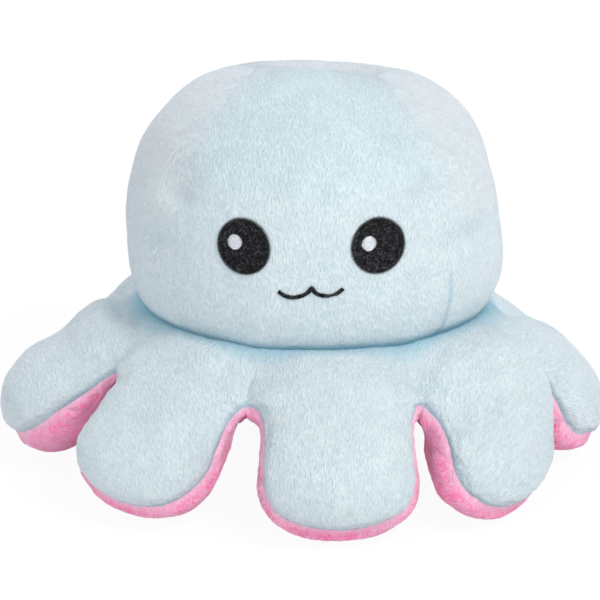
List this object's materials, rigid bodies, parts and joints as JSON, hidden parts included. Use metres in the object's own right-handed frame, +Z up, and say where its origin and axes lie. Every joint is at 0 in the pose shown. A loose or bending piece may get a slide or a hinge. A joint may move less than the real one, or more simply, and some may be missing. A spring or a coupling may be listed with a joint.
{
  "type": "reversible plush octopus",
  "caption": "Stuffed octopus that turns inside out: gored head with an embroidered face, skirt, short stuffed arms that bend, and a lined pocket inside the head.",
  "frame": {"origin": "on the surface that the toy stands on, under the middle of the toy", "axes": "+Z up, -Y the way the face looks, +X to the right as one looks at the face"},
  "size_m": [0.1992, 0.1992, 0.131],
  "materials": {
    "blue_plush": "short soft pile, pale blue",
    "pink_plush": "short soft pile, pink",
    "fibre_filling": "loose polyester fibre, white",
    "black_thread": "satin embroidery thread",
    "white_thread": "satin embroidery thread",
    "blue_thread": "sewing thread",
    "pink_thread": "sewing thread"
  },
  "bodies": {
    "body": {"head_gore_front": "blue_plush", "head_gore_right": "blue_plush", "head_gore_back": "blue_plush", "head_gore_left": "blue_plush", "lining_gore_front": "pink_plush", "lining_gore_right": "pink_plush", "lining_gore_back": "pink_plush", "lining_gore_left": "pink_plush", "head_filling": "fibre_filling", "skirt_top": "blue_plush", "skirt_under": "pink_plush", "skirt_filling": "fibre_filling", "neck_seam": "blue_thread", "pocket_seam": "pink_thread", "left_eye": "black_thread", "left_highlight": "white_thread", "right_eye": "black_thread", "right_highlight": "white_thread", "mouth": "black_thread"},
    "arm_1": {"arm_1_top": "blue_plush", "arm_1_under": "pink_plush", "arm_1_filling": "fibre_filling"},
    "arm_2": {"arm_2_top": "blue_plush", "arm_2_under": "pink_plush", "arm_2_filling": "fibre_filling"},
    "arm_3": {"arm_3_top": "blue_plush", "arm_3_under": "pink_plush", "arm_3_filling": "fibre_filling"},
    "arm_4": {"arm_4_top": "blue_plush", "arm_4_under": "pink_plush", "arm_4_filling": "fibre_filling"},
    "arm_5": {"arm_5_top": "blue_plush", "arm_5_under": "pink_plush", "arm_5_filling": "fibre_filling"},
    "arm_6": {"arm_6_top": "blue_plush", "arm_6_under": "pink_plush", "arm_6_filling": "fibre_filling"},
    "arm_7": {"arm_7_top": "blue_plush", "arm_7_under": "pink_plush", "arm_7_filling": "fibre_filling"},
    "arm_8": {"arm_8_top": "blue_plush", "arm_8_under": "pink_plush", "arm_8_filling": "fibre_filling"}
  },
  "joints": [
    {"name": "arm_1_bend", "type": "hinge", "parent": "body", "child": "arm_1", "pos_m": [0.00775, -0.067, 0.035], "axis": [-0.9934, -0.1149, 0], "range_deg": [-15, 30], "stiffness_Nm_per_rad": 0.06, "springref_deg": -1.95},
    {"name": "arm_2_bend", "type": "hinge", "parent": "body", "child": "arm_2", "pos_m": [0.05285, -0.04189, 0.035], "axis": [-0.6211, -0.7837, 0], "range_deg": [-15, 30], "stiffness_Nm_per_rad": 0.06, "springref_deg": -1.95},
    {"name": "arm_3_bend", "type": "hinge", "parent": "body", "child": "arm_3", "pos_m": [0.067, 0.00775, 0.035], "axis": [0.1149, -0.9934, 0], "range_deg": [-15, 30], "stiffness_Nm_per_rad": 0.06, "springref_deg": -1.95},
    {"name": "arm_4_bend", "type": "hinge", "parent": "body", "child": "arm_4", "pos_m": [0.04189, 0.05285, 0.035], "axis": [0.7837, -0.6211, 0], "range_deg": [-15, 30], "stiffness_Nm_per_rad": 0.06, "springref_deg": -1.95},
    {"name": "arm_5_bend", "type": "hinge", "parent": "body", "child": "arm_5", "pos_m": [-0.00775, 0.067, 0.035], "axis": [0.9934, 0.1149, 0], "range_deg": [-15, 30], "stiffness_Nm_per_rad": 0.06, "springref_deg": -1.95},
    {"name": "arm_6_bend", "type": "hinge", "parent": "body", "child": "arm_6", "pos_m": [-0.05285, 0.04189, 0.035], "axis": [0.6211, 0.7837, 0], "range_deg": [-15, 30], "stiffness_Nm_per_rad": 0.06, "springref_deg": -1.95},
    {"name": "arm_7_bend", "type": "hinge", "parent": "body", "child": "arm_7", "pos_m": [-0.067, -0.00775, 0.035], "axis": [-0.1149, 0.9934, 0], "range_deg": [-15, 30], "stiffness_Nm_per_rad": 0.06, "springref_deg": -1.95},
    {"name": "arm_8_bend", "type": "hinge", "parent": "body", "child": "arm_8", "pos_m": [-0.04189, -0.05285, 0.035], "axis": [-0.7837, 0.6211, 0], "range_deg": [-15, 30], "stiffness_Nm_per_rad": 0.06, "springref_deg": -1.95}
  ]
}
